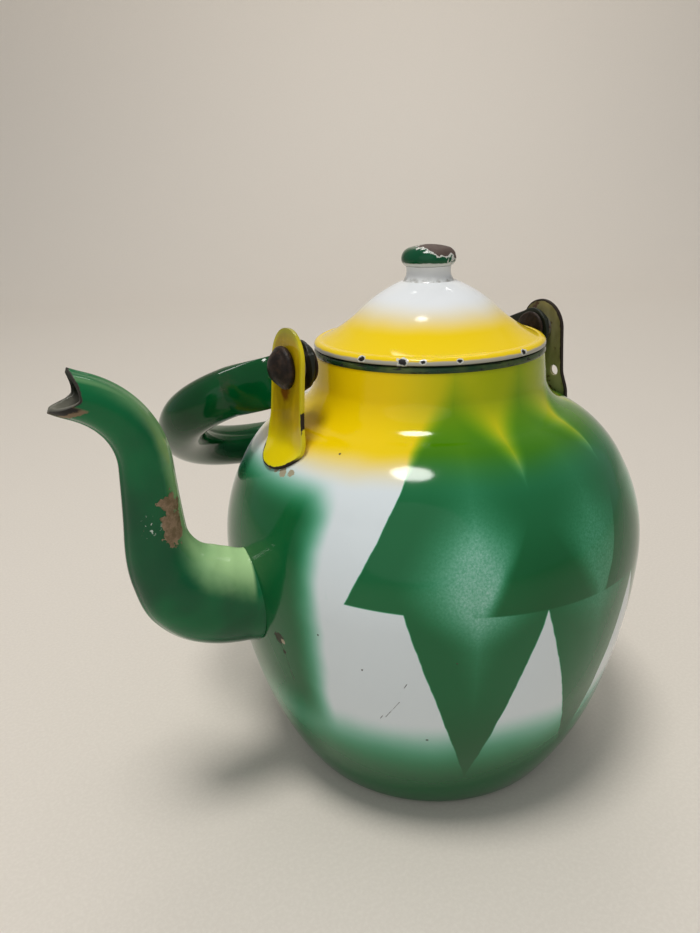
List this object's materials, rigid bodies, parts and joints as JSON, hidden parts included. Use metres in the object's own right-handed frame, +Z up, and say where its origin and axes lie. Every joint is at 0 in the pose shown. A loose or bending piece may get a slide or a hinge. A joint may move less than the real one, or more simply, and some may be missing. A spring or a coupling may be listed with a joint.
{
  "type": "kettle",
  "caption": "Enamelled steel kettle with a swan-neck spout, a lift-off domed lid with a knob, and a bail handle that swings on two riveted ears.",
  "frame": {"origin": "centre of the flat underside of the base plate, on the surface that the kettle stands on", "axes": "+Z up along the body's axis; the spout points along -X; the handle is laid back towards +Y"},
  "size_m": [0.2535, 0.198, 0.2243],
  "materials": {
    "body_enamel": "gloss enamel, white ground with sprayed green and yellow",
    "rim_enamel": "gloss enamel, green",
    "spout_enamel": "gloss enamel, green",
    "ear_enamel": "gloss enamel, yellow, worn",
    "rivet_steel": "rusted dark brown",
    "bare_steel": "dull",
    "handle_enamel": "gloss enamel, dark green",
    "lug_steel": "worn dark enamel on steel",
    "lid_enamel": "gloss enamel, white with a sprayed yellow edge",
    "collar_enamel": "gloss enamel, white",
    "knob_enamel": "gloss enamel, green, chipped"
  },
  "bodies": {
    "kettle": {"body_shell": "body_enamel", "base_plate": "body_enamel", "mouth_rim": "rim_enamel", "spout_left_half": "spout_enamel", "spout_right_half": "spout_enamel", "front_ear": "ear_enamel", "rear_ear": "ear_enamel", "front_pivot_rivet": "rivet_steel", "rear_pivot_rivet": "rivet_steel", "front_rivet_cap": "rivet_steel", "rear_rivet_cap": "rivet_steel", "front_spacer": "bare_steel", "rear_spacer": "bare_steel"},
    "handle": {"handle_bow": "handle_enamel", "front_handle_lug": "lug_steel", "rear_handle_lug": "lug_steel"},
    "lid": {"lid_dome": "lid_enamel", "lid_collar": "collar_enamel", "knob_neck": "lid_enamel", "knob_cap": "knob_enamel", "knob_washer": "bare_steel", "knob_rivet": "bare_steel"}
  },
  "joints": [
    {"name": "handle_swing", "type": "hinge", "parent": "kettle", "child": "handle", "pos_m": [0, 0, 0.184], "axis": [1, 0, 0], "range_deg": [0, 244.1]},
    {"name": "lid_lift", "type": "slide", "parent": "kettle", "child": "lid", "axis": [0, 0, 1], "range_m": [0, 0.05]}
  ]
}
